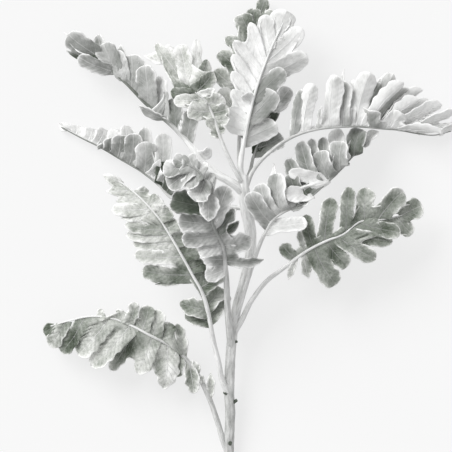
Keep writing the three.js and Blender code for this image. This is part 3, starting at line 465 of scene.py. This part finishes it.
class Lobe:
    """One lobe: a cupped, arched tongue with a waved margin, whose foot lies along the midrib."""

    def __init__(self, rib, face_at, row, calm, fold, seed):
        self.rib, self.calm = rib, calm
        self.station, x, y, rise, self.width, self.tone = row[:6]
        turn, self.point = (*row[6:], 0, 0)[:2]
        draw = np.random.RandomState(seed)
        self.roll = radians(turn + calm * draw.uniform(-LOOSE, LOOSE))
        self.cup = CUP * fold * draw.uniform(*FOLD)
        # painted shade across the lobe, stronger on the more folded fronds
        self.painted_shade = fold * draw.uniform(-PAINTED_SHADE, PAINTED_SHADE)
        self.foot, self.along = rib.at(self.station), rib.along(self.station)
        self.tip = np.array([x, y, self.foot[2] + rise])
        reach = self.tip - self.foot
        self.length = np.linalg.norm(reach)
        self.face = square_to(face_at(self.station), unit(reach))
        self.bend = (self.foot + self.tip) / 2 + self.length * (ARCH * self.face - SWEEP * self.along)
        self.left = np.cross(self.face, self.along) @ (self.bend - self.foot) > 0
        self.turn = -1.0 if self.left else 1.0
        self.slim = self.width < SLIVER
        self.layer = int(rise > FRONT) - int(rise < BEHIND)
        onward = unit(reach) @ self.along
        self.hold = ease(0.95, 0.65, onward) * ease(-0.6, -0.2, onward)  # of its foot by the midrib
        self.joined = np.array([0.12, 0.12])  # how far it is joined to the next and the previous lobe
        self.teeth = draw.uniform(0, 2 * pi, 2), draw.uniform(0.6, 1.3, 2)
        self.frills = draw.uniform(0, 2 * pi, 2), draw.uniform(0.35, 1.15, 2)
        self.frill_length = FRILL_LENGTH * draw.uniform(0.8, 1.25)

    def axis(self, p):
        t = np.asarray(p, float)[..., None]
        return (1 - t) ** 2 * self.foot + 2 * t * (1 - t) * self.bend + t**2 * self.tip

    def frame(self, p):
        t = np.asarray(p, float)[..., None]
        forward = unit((1 - t) * (self.bend - self.foot) + t * (self.tip - self.bend))
        normal = square_to(np.broadcast_to(self.face, forward.shape), forward)
        across = np.cross(normal, forward)
        roll = self.roll * ease(0.05, 0.55, t)
        cos, sin = np.cos(roll), np.sin(roll)
        across, normal = across * cos + normal * sin, normal * cos - across * sin
        held = (1 - ease(0, 0.25, t)) * self.hold
        return unit(across * (1 - held) + self.along * self.turn * held), forward, normal

    def half(self, p, q):
        """Half width at shares of its length, on the side of q."""
        outline = SLIVER_OUTLINE if self.slim else LOBE_OUTLINE
        widest = outline[-2][0] - 0.4 * self.point
        half = through(outline, np.minimum(p, widest))
        rounding = np.clip((p - widest) / (TIP_REACH - widest), 0, 1)
        sharp = 1 if self.width < POINTED else self.point
        power, root = 2.4 - 1.2 * sharp, 0.5 + 0.35 * sharp
        half = half * np.maximum(1 - rounding**power, 0.003) ** root * self.width
        half = half * (1 - 0.5 * (1 - self.hold) * (1 - ease(0, ROOT, p)))
        side = (np.asarray(q) > 0).astype(int)
        phase, depth = self.teeth[0][side], self.teeth[1][side]
        wave = np.sin(2 * pi * p * self.length / TOOTH_LENGTH + phase)
        return half * (1 + TOOTH_DEPTH * self.calm * depth * wave * ease(0.2, 0.5, p))

    def quilt(self, out, way):
        """Swelling between the side veins, by the distances from the midvein and the foot."""
        return QUILT * self.calm * np.sin(pi * (way - VEIN_LEAN * np.abs(out)) / VEIN_SPACING) ** 2

    def surface(self, p, q):
        """Points of the middle of its blade, and the relief there."""
        p, q = np.broadcast_arrays(np.asarray(p, float), np.asarray(q, float))
        across, _, normal = self.frame(p)
        half = self.half(p, q)
        out, way = q * half, p * self.length
        side = (q > 0).astype(int)
        joined = self.joined[side]
        free = ease(joined - 0.15, joined + 0.3, p)
        held = self.calm * np.minimum(np.abs(q), HOLD) ** 1.3
        fold = free * np.abs(q) ** 1.3 + (1 - free) * held
        lift = self.cup * half * fold * ease(0, ROOT, p)
        lift = lift + np.cos(pi * (p - 0.4) / 0.38) * RIPPLE * free * q**2
        frill = np.sin(2 * pi * way / self.frill_length + self.frills[0][side])
        lift = lift + FRILL * self.calm * self.frills[1][side] * frill * q**2 * free
        points = self.axis(p) + across * out[..., None]
        beside = self.turn * out
        bent = self.rib.beside(self.station, beside) - self.foot - self.along * beside[..., None]
        points = points + bent * (self.hold * (1 - ease(0, 0.35, p)))[..., None]
        relief = self.quilt(out, way) * ease(0, 0.3, np.abs(out) / 2)
        relief = relief + crinkle(points) * self.calm * ease(0, ROOT, p)
        return points + normal * (lift + relief)[..., None], relief

    def sheet(self):
        rows, columns = SLIVER_GRID if self.slim else LOBE_GRID
        p = (np.linspace(0, 1, rows) ** 0.85 * TIP_REACH)[:, None]
        q = np.linspace(-1, 1, columns)[None, :]
        q = np.sign(q) * np.abs(q) ** 0.8  # closer together towards the margins
        middle, relief = self.surface(p, q)
        across, forward, normal = self.frame(p)
        half = self.half(p, q)
        out = q * half
        joined = self.joined[(q > 0).astype(int)]
        side_gap = half - np.abs(out)
        tip_gap = (TIP_REACH - p) * self.length
        edge = np.minimum(side_gap, tip_gap) + 3 * (1 - ease(joined - 0.04, joined + 0.06, p))
        thickness = BLADE * (1 - (1 - EDGE_THIN) * ease(0, 1, 1 - side_gap / EDGE_WIDTH))
        outward = unit(across * np.sign(q)[..., None] + 1e-6)
        outward[-1] = forward[-1]
        # painted light and shade: one side of the lobe paler, the other darker, as the light falls across
        # its fold
        tone = self.tone + self.painted_shade * q * ease(0.1, 0.5, p)
        way = p * self.length
        return close_sheet(middle, normal, outward, thickness, out, way, edge, tone, relief)


def notch(u):
    """How much further out a web reaches at places across it."""
    return 1 + SINUS_ROUND * np.abs(2 * u - 1) ** 2.5


def web(one, other, depth):
    """Web between two neighbouring lobes, which ends in a rounded notch."""
    rows, columns = WEB_GRID
    v = np.linspace(0, 1, rows)[:, None]
    u = np.linspace(0, 1, columns)[None, :]
    reach = depth * notch(u)
    p1, p2 = (np.minimum(v * reach / x.length, max(WEB_END, depth / x.length)) for x in (one, other))
    apart = np.linalg.norm(one.axis(p1) - other.axis(p2), axis=-1)
    q1 = np.minimum(HOLD, GRIP * apart / one.half(p1, -1)) * ease(0, ROOT, p1)
    q2 = np.minimum(HOLD, GRIP * apart / other.half(p2, 1)) * ease(0, ROOT, p2)
    start, relief1 = one.surface(p1, -q1)
    end, relief2 = other.surface(p2, q2)
    leave = unit(one.surface(p1, -q1 - 0.03)[0] - start)
    arrive = unit(end - other.surface(p2, q2 + 0.03)[0])
    span = np.linalg.norm(end - start, axis=-1, keepdims=True)
    t = u[..., None]
    middle = (2 * t**3 - 3 * t**2 + 1) * start + (3 * t**2 - 2 * t**3) * end
    middle = middle + (t**3 - 2 * t**2 + t) * span * leave + (t**3 - t**2) * span * arrive
    like = unit(one.frame(p1)[2] * (1 - t) + other.frame(p2)[2] * t)
    wide = span[..., 0]
    near1 = q1 * one.half(p1, -1) + u * wide
    near2 = q2 * other.half(p2, 1) + (1 - u) * wide
    out = np.where(near1 < near2, -near1, near2)
    way = np.where(near1 < near2, p1 * one.length, p2 * other.length)
    inside = ease(0, 0.3, u) * ease(0, 0.3, 1 - u)
    relief = relief1 * (1 - u) + relief2 * u
    fresh = (one.quilt(out, way) + crinkle(middle) * one.calm - relief) * inside * ease(0.05, 0.3, v)
    middle = middle + like * fresh[..., None]
    relief = relief + fresh
    edge = (1 - v) * reach
    tone = one.tone * (1 - ease(0.2, 0.8, u)) + other.tone * ease(0.2, 0.8, u)
    outward = unit(np.gradient(middle, axis=0) + 1e-6)
    return close_sheet(middle, like, outward, BLADE * WEB_THIN, out, way, edge, tone, relief)


def reach_at_margin(lobe, one, other, depth):
    """Share of a lobe's length up to which the web between two lobes covers its margin."""
    p = np.clip(depth / lobe.length, 0, 1)
    apart = np.linalg.norm(one.axis(depth / one.length) - other.axis(depth / other.length))
    u = np.clip((1 - HOLD) * lobe.half(np.array(p), -1) / max(apart, 1e-3), 0, 0.5)
    return float(p * notch(u))


def blade(name, frond, seed):
    """The whole blade of one frond."""
    rib = Spine(frond["rib"])
    face_at, calm, fold = facing(frond, rib), frond["calm"], frond.get("fold", 1)
    lobes = [Lobe(rib, face_at, row, calm, fold, seed + k) for k, row in enumerate(frond["lobes"])]
    round_it = sorted(lobes, key=lambda x: (not x.left, x.station if x.left else -x.station))
    layers = [[x for x in round_it if x.layer == layer] for layer in (-1, 0, 1)]
    links = []
    for one, other in (pair for layer in layers for pair in zip(layer, layer[1:])):
        on_web = min(one.station, other.station) >= frond["blade"] - 0.6
        opposed = one.frame(0.5)[1] @ other.frame(0.5)[1] < -0.2
        if not on_web or opposed or np.linalg.norm(one.foot - other.foot) > FAR_APART:
            continue
        share = frond["join"][0 if one.left and other.left else 1]
        share = frond.get("cuts", {}).get(one.station, share)
        shorter, longer = sorted((one.length, other.length))
        depth = min(share * (shorter + longer) / 2, max(share, WEB_END) * shorter)
        one.joined[0] = reach_at_margin(one, one, other, depth)
        other.joined[1] = reach_at_margin(other, one, other, depth)
        links.append((one, other, depth))
    sheets = [*(lobe.sheet() for lobe in lobes), *(web(*link) for link in links)]
    return lobes, sheets_mesh(name, sheets)


# ---- Finishes ----

class Nodes:
    """A group of nodes that is built by short calls."""

    def __init__(self, group):
        self.group = group

    def node(self, kind, inputs=(), **settings):
        made = self.group.nodes.new(kind)
        for key, value in settings.items():
            setattr(made, key, value)
        for key, value in dict(inputs).items():
            self.feed(made.inputs[key], value)
        return made

    def feed(self, socket, value):
        if isinstance(value, bpy.types.NodeSocket):
            self.group.links.new(value, socket)
        else:
            socket.default_value = value

    def math(self, operation, *values, clamp=False):
        made = self.node("ShaderNodeMath", enumerate(values), operation=operation, use_clamp=clamp)
        return made.outputs[0]

    def plus(self, *values, clamp=False):
        return self.math("ADD", *values, clamp=clamp)

    def times(self, *values):
        return self.math("MULTIPLY", *values)

    def shift(self, value, amount, middle=0.5):
        """What a value is above or below the middle, times an amount."""
        return self.times(self.math("SUBTRACT", value, middle), amount)

    def split(self, vector):
        return self.node("ShaderNodeSeparateXYZ", {"Vector": vector}).outputs


class Finish(Nodes):
    """A material of the plant or the floor."""

    def __init__(self, name):
        self.material = bpy.data.materials.new(name)
        self.material.use_nodes = True
        super().__init__(self.material.node_tree)

    def look(self, inputs):
        """Sets the shader's own inputs."""
        for key, value in inputs.items():
            self.feed(self.group.nodes["Principled BSDF"].inputs[key], value)

    def place(self):
        return self.node("ShaderNodeTexCoord").outputs["Object"]

    def mark(self, name, output="Fac"):
        return self.node("ShaderNodeAttribute", attribute_name=name).outputs[output]

    def join(self, x, y, z):
        return self.node("ShaderNodeCombineXYZ", {"X": x, "Y": y, "Z": z}).outputs[0]

    def span(self, value, low, high, to_low=0, to_high=1):
        limits = enumerate((value, low, high, to_low, to_high))
        return self.node("ShaderNodeMapRange", limits, interpolation_type="SMOOTHSTEP").outputs[0]

    def noise(self, place, scale, detail=3.0, roughness=0.55):
        inputs = {"Vector": place, "Scale": scale, "Detail": detail, "Roughness": roughness}
        return self.node("ShaderNodeTexNoise", inputs).outputs["Fac"]

    def felt(self, tone, colors, height=None, depth=0.0):
        """Covers it with felt, coloured by its tone in even steps."""
        ramp = self.node("ShaderNodeValToRGB", {"Fac": tone})
        stops = ramp.color_ramp.elements
        for k in range(1, len(colors) - 1):
            stops.new(k / (len(colors) - 1))
        for stop, color in zip(stops, colors):
            stop.color = (*color, 1)
        self.look({
            "Base Color": ramp.outputs["Color"], "Roughness": 0.88, "Specular IOR Level": 0.15,
            "Sheen Weight": 0.12, "Sheen Roughness": 0.6,
        })
        if height is not None:
            bump = self.node("ShaderNodeBump", {"Height": height, "Strength": 0.6, "Distance": depth})
            self.look({"Normal": bump.outputs["Normal"]})
        return self.material


# From bare dark green to dense white felt, over a green blade and over a grey one; the darker colours
# also serve for painted shade
GREEN_COLORS = (
    (0.03, 0.042, 0.026), (0.115, 0.135, 0.105), (0.3, 0.32, 0.287), (0.59, 0.603, 0.572),
    (0.9, 0.903, 0.888))
GREY_COLORS = (
    (0.03, 0.042, 0.027), (0.114, 0.13, 0.107), (0.303, 0.312, 0.299), (0.594, 0.598, 0.589),
    (0.9, 0.902, 0.896))


def leaf_finish(name, colors, mottle, meshes):
    """Felted leaf: green where the felt is thin, white at margins, veins and underside; painted shade
    makes it darker where the blade lies low and paler where it swells.
    """
    f = Finish(name)
    place = f.place()
    across, way, _ = f.split(f.node("ShaderNodeUVMap", uv_map="blade").outputs["UV"])
    edge, tone, under, relief = map(f.mark, ("edge", "tone", "under", "relief"))
    worn = f.noise(place, 420, 2)
    rim = f.times(f.span(edge, 0, 0.8, 1, 0), f.span(worn, 0.3, 0.6, 0.25, 1))
    midvein = f.span(f.math("ABSOLUTE", across), 0.1, 0.6, 1, 0)
    streaks = f.noise(f.join(f.times(across, 1.5), f.times(way, 0.3), tone), 1, 4, 0.6)
    patches = f.noise(place, 130, 4, 0.6)
    speckle = f.noise(place, 900, 3, 0.7)
    net = f.node("ShaderNodeTexVoronoi", {"Vector": place, "Scale": 480}, feature="DISTANCE_TO_EDGE")
    net = f.span(net.outputs["Distance"], 0, 0.16, 1, 0)
    band = f.span(edge, 0.2, 3.2, 1, 0)
    felt = tone
    # the relief paints shade: darker where the blade lies low, paler where it swells
    for part in (
        f.shift(patches, 0.55 * mottle), f.shift(streaks, 0.3 - 0.16 * mottle),
        f.shift(speckle, 0.4 * mottle), f.shift(relief, 0.24, 0.05), f.shift(band, 0.17),
        f.times(midvein, 0.1), f.times(under, 0.12), f.times(rim, 0.4), f.times(net, meshes),
    ):
        felt = f.plus(felt, part)
    felt = f.plus(felt, 0, clamp=True)
    fibres = f.noise(place, 2600, 2, 0.7)
    return f.felt(felt, colors, f.plus(f.times(fibres, 0.5), streaks), 0.0003)


def stalk_finish():
    """Felted stem, stalks and veins, with lengthwise streaks."""
    f = Finish("felted stem")
    x, y, _ = f.split(f.mark("section", "Vector"))
    streaks = f.noise(f.join(x, y, f.times(f.mark("run"), 60)), 2.6, 4, 0.65)
    patches = f.noise(f.place(), 170, 3)
    felt = f.plus(f.mark("tone"), f.shift(streaks, 0.7, 0.55))
    return f.felt(f.plus(felt, f.shift(patches, 0.3), clamp=True), GREY_COLORS, streaks, 0.0005)


def hair_finish():
    """The loose hairs of the felt, paler than what they grow on."""
    f = Finish("loose hairs")
    return f.felt(f.plus(f.times(f.mark("tone"), 0.5), 0.46, clamp=True), GREY_COLORS)


# ---- Stem, stalks, veins and felt ----

class Tree(Nodes):
    """A Geometry Nodes tree with named inputs for its sizes."""

    def __init__(self, name, sizes):
        super().__init__(bpy.data.node_groups.new(name, "GeometryNodeTree"))

        def socket(name, kind, way="INPUT"):
            return self.group.interface.new_socket(name, in_out=way, socket_type="NodeSocket" + kind)

        socket("Geometry", "Geometry")
        for key, value in sizes.items():
            socket(key, "Int" if isinstance(value, int) else "Float").default_value = value
        socket("Geometry", "Geometry", "OUTPUT")
        self.start = self.node("NodeGroupInput").outputs
        self.end = self.node("NodeGroupOutput").inputs

    def shape(self, kind, inputs=(), **settings):
        """First output of a new geometry node."""
        return self.node("GeometryNode" + kind, inputs, **settings).outputs[0]

    def mark(self, name):
        return self.shape("InputNamedAttribute", {"Name": name}, data_type="FLOAT")

    def keep(self, geometry, name, value, kind="FLOAT"):
        stored = {"Geometry": geometry, "Name": name, "Value": value}
        return self.shape("StoreNamedAttribute", stored, data_type=kind, domain="POINT")

    def scaled(self, vector, amount):
        inputs = {0: vector, "Scale": amount}
        return self.node("ShaderNodeVectorMath", inputs, operation="SCALE").outputs[0]

    def finish(self, geometry, material):
        whole = self.shape("RealizeInstances", {"Geometry": geometry})
        self.feed(self.end[0], self.shape("SetMaterial", {"Geometry": whole, "Material": material}))
        return self


def grow(mesh, tree, sizes):
    """The plain mesh that a tree with these sizes makes of this one."""
    holder = put("holder", mesh)
    modifier = holder.modifiers.new("grow", "NODES")
    modifier.node_group = tree.group
    for item in tree.group.interface.items_tree:
        if item.in_out == "INPUT" and item.name in sizes:
            modifier[item.identifier] = sizes[item.name]
    shaped = holder.evaluated_get(bpy.context.evaluated_depsgraph_get())
    made = bpy.data.meshes.new_from_object(shaped)
    bpy.data.objects.remove(holder)
    return made


def tube_tree(material):
    """Ridged tubes along the lines of a mesh, as thick as the lines' girth says."""
    tree = Tree("tubes", {
        "Sides": 12, "Ridges": 0, "Ridge depth": 0.0, "Unevenness": 0.0, "Unevenness scale": 300.0,
    })
    start = tree.start
    lines = tree.shape("MeshToCurve", {"Mesh": start["Geometry"]})
    lines = tree.keep(lines, "run", tree.node("GeometryNodeSplineParameter").outputs["Length"])
    place = tree.shape("InputPosition")
    x, y, _ = tree.split(place)
    turn = tree.times(tree.math("ARCTAN2", y, x), start["Ridges"])
    groove = tree.times(tree.math("SUBTRACT", 1, tree.math("COSINE", turn)), 0.5)
    share = tree.math("SUBTRACT", 1, tree.times(groove, start["Ridge depth"]))
    ring = tree.shape("CurvePrimitiveCircle", {"Resolution": start["Sides"]})
    ring = tree.keep(ring, "section", place, "FLOAT_VECTOR")
    ring = tree.shape("SetPosition", {"Geometry": ring, "Position": tree.scaled(place, share)})
    tube = tree.shape("CurveToMesh", {
        "Curve": lines, "Profile Curve": ring, "Scale": tree.mark("girth"), "Fill Caps": True,
    })
    noise = tree.node("ShaderNodeTexNoise", {"Scale": start["Unevenness scale"], "Detail": 2.0})
    swell = tree.shift(noise.outputs[0], start["Unevenness"])
    push = tree.scaled(tree.shape("InputNormal"), swell)
    tube = tree.shape("SetPosition", {"Geometry": tube, "Offset": push})
    return tree.finish(tree.shape("SetShadeSmooth", {"Geometry": tube}), material)


def felt_tree(material):
    """Short hairs all over a piece, thick along its margins and thin elsewhere."""
    tree = Tree("felt", {
        "Hairs": 100000.0, "Margin hairs": 2000000.0, "Margin": 0.35, "Length": 0.0008, "Width": 0.00005,
        "Seed": 3,
    })
    start = tree.start

    def chance(kind, limits):
        limits["Seed"] = start["Seed"]
        return tree.node("FunctionNodeRandomValue", limits, data_type=kind).outputs

    band = tree.node("ShaderNodeMapRange", {
        "Value": tree.mark("edge"), "From Min": 0, "From Max": start["Margin"],
        "To Min": start["Margin hairs"], "To Max": start["Hairs"],
    }).outputs[0]
    spread = tree.node("GeometryNodeDistributePointsOnFaces", {
        "Mesh": start["Geometry"], "Density": band, "Seed": start["Seed"],
    }).outputs
    hair = tree.shape("MeshCone", {
        "Vertices": 3, "Radius Top": 0, "Radius Bottom": start["Width"], "Depth": start["Length"],
    })
    lean = chance("FLOAT_VECTOR", {0: (-0.9, -0.9, 0), 1: (0.9, 0.9, 6.28)})[0]
    turns = {"Rotation": spread["Rotation"], "Rotate By": lean}
    turned = tree.node("FunctionNodeRotateRotation", turns, rotation_space="LOCAL").outputs[0]
    size = chance("FLOAT", {2: 0.5, 3: 1.3})[1]
    hairs = tree.shape("InstanceOnPoints", {
        "Points": spread["Points"], "Instance": hair, "Rotation": turned, "Scale": size,
    })
    return tree.finish(hairs, material)


def lines_mesh(lines):
    """Mesh of open lines: points, girth at each point, and tone."""
    verts, edges, girth, tone = [], [], [], []
    count = 0
    for points, radii, felt in lines:
        verts.append((points + CENTRE) * MM)
        edges += [(count + k, count + k + 1) for k in range(len(points) - 1)]
        girth.append(np.broadcast_to(radii, len(points)) * MM)
        tone.append(np.broadcast_to(felt, len(points)))
        count += len(points)
    mesh = bpy.data.meshes.new("lines")
    mesh.from_pydata(np.concatenate(verts).tolist(), edges, [])
    add_mark(mesh, "girth", np.concatenate(girth))
    add_mark(mesh, "tone", np.concatenate(tone))
    return mesh


def stem_lines():
    """Axes of the stem and of its stumps, with their girths and tones."""
    axis = Spine(STEM_AXIS)
    girth = Spine([(r, 0, 0) for r in STEM_RADIUS])
    station = np.linspace(0, axis.last, 220)
    bark = axis.at(station), girth.at(station)[:, 0], 0.73 + 0.25 * ease(2, 6, station)
    stumps = []
    for place, direction, length, radius in STUMPS:
        foot, way = axis.at(place), unit(np.array(direction, float))
        run = np.linspace(0, 1, 10)[:, None]
        stumps.append((foot + way * length * run, radius * (1.4 - 0.4 * run[:, 0]), STUMP_TONE))
    return [bark], stumps


def midrib_line(frond):
    """Stalk and midrib of a frond, which tapers to the tip."""
    rib = Spine(frond["rib"])
    start = frond["blade"]
    station = np.linspace(0, rib.last, 130)
    to_web = 1 - (1 - STALK_TAPER) * np.clip(station / start, 0, 1)
    beyond = np.clip((station - start) / (rib.last - start), 0, 1)
    radius = frond["stalk"] * to_web * (1 - MIDRIB_LOSS * beyond**0.6)
    radius = np.maximum(radius * (1 - 0.12 * ease(0, 0.1, beyond)), THINNEST)
    face = square_to(facing(frond, rib)(station), rib.along(station))
    face = face * frond["face"][0][2]  # it stands out most where the blade lies flat
    of_stalk, of_rib = frond["stalk_tone"]
    tone = of_stalk + (of_rib - of_stalk) * ease(0, 0.4, beyond)
    proud = MIDRIB_RISE * ease(start - 0.5, start + 0.5, station)[:, None]
    return rib.at(station) + face * proud, radius, tone


def vein_lines(lobes):
    """Midveins and side veins of the lobes, half sunk in both faces of the blade."""
    lines = []
    for lobe in lobes:
        radius, height, pale = MIDVEIN
        p = np.linspace(0.02, 0.93, 16)
        for face in (height, -height):
            points = lobe.surface(p, 0 * p)[0] + lobe.frame(p)[2] * face
            lines.append((points, radius * (1 - 0.7 * p), lobe.tone + pale))
        radius, height, pale = SIDE_VEIN
        count = int(lobe.length * 0.75 / VEIN_SPACING)
        for foot in (k * VEIN_SPACING / lobe.length for k in range(1, count)):
            for side in (-1, 1):
                out = np.linspace(0, 0.8, 7)
                share = foot + out * lobe.half(np.array(foot), side) * VEIN_LEAN / lobe.length
                out, share = out[share < 0.95], share[share < 0.95]
                if len(share) < 3:
                    continue
                points = lobe.surface(share, side * out)[0] + lobe.frame(share)[2] * height
                lines.append((points, radius * (1 - 0.6 * out), lobe.tone + pale))
    return lines


# ---- Plant ----

# Finish of each slot: its colours, its mottling, and how pale the net of veins is
leaf_felts = {
    "leaf_green_face": leaf_finish("thin felt on green", GREEN_COLORS, 0.75, 0.06),
    "leaf_grey": leaf_finish("grey felt", GREY_COLORS, 0.28, 0.02),
    "leaf_white_felt": leaf_finish("dense white felt", GREY_COLORS, 0.16, 0),
}
tubes = tube_tree(stalk_finish())
felt = felt_tree(hair_finish())

bark, stumps = stem_lines()
stem = grow(lines_mesh(bark), tubes, {
    "Sides": 56, "Ridges": STEM_RIDGES, "Ridge depth": RIDGE_DEPTH, "Unevenness": 0.0006,
})
add_piece("stem_bark", stem, "stem")
scars = grow(lines_mesh(stumps), tubes, {"Sides": 14, "Unevenness": 0.0006, "Unevenness scale": 900.0})
add_piece("stem_scars", scars, "stem")
for number, (node, frond) in enumerate(FRONDS.items()):
    lobes, mesh = blade(node + "_blade", frond, 100 * number)
    mesh.materials.append(leaf_felts[frond["slot"]])
    rib = lines_mesh([midrib_line(frond)])
    for kind, part in (
        ("_blade", mesh),
        ("_rib", grow(rib, tubes, {"Sides": 16, "Ridges": 4, "Ridge depth": 0.12, "Unevenness": 0.0002})),
        ("_veins", grow(lines_mesh(vein_lines(lobes)), tubes, {"Sides": 5})),
        ("_felt", grow(mesh.copy(), felt, {"Seed": number})),
    ):
        add_piece(node + kind, part, node)


# ---- Studio ----

PICTURE = 452  # pixels each way
PIXEL = 0.6 * MM  # size of a pixel on the surface
PICTURE_CENTRE = (-16.6 * MM, 7.4 * MM)
CAMERA_HEIGHT = 3.2
SENSOR = 36
LAMP_WAY = (-0.6, 0.6, 0.65)  # from the plant to the lamp
LAMP_SPREAD = 38  # how wide the lamp looks from the plant, in degrees
LAMP, ROOM = 2.5, 0.6  # strength of the lamp and of the even light around
WHITE = (1, 1, 1, 1)
FLOOR_GREY = (0.25, 0.25, 0.25, 1)
FLOOR_GLOW = 0.67  # light that the pale floor gives off of its own
FLOOR_SIZE = 6
SIGHT = 20  # how far the camera sees

bpy.ops.mesh.primitive_plane_add(size=FLOOR_SIZE, location=(0, 0, 0))
floor = bpy.context.object
floor.name = "floor"
pale = Finish("pale floor")
pale.look({
    "Base Color": FLOOR_GREY, "Roughness": 0.9, "Specular IOR Level": 0,
    "Emission Color": WHITE, "Emission Strength": FLOOR_GLOW,
})
floor.data.materials.append(pale.material)

light = bpy.data.lights.new("window", "SUN")
light.energy, light.angle = LAMP, radians(LAMP_SPREAD)
put("window", light).rotation_euler = Vector(LAMP_WAY).to_track_quat("Z", "Y").to_euler()

world = bpy.data.worlds.new("room")
world.use_nodes = True
glow = world.node_tree.nodes["Background"].inputs
glow["Color"].default_value, glow["Strength"].default_value = WHITE, ROOM
bpy.context.scene.world = world

camera = bpy.data.cameras.new("camera")
camera.sensor_width = SENSOR
camera.lens = SENSOR * CAMERA_HEIGHT / (PICTURE * PIXEL)
camera.clip_end = SIGHT
eye = put("camera", camera)
eye.location = (*PICTURE_CENTRE, CAMERA_HEIGHT)
bpy.context.scene.camera = eye
bpy.context.scene.view_settings.view_transform = "Standard"
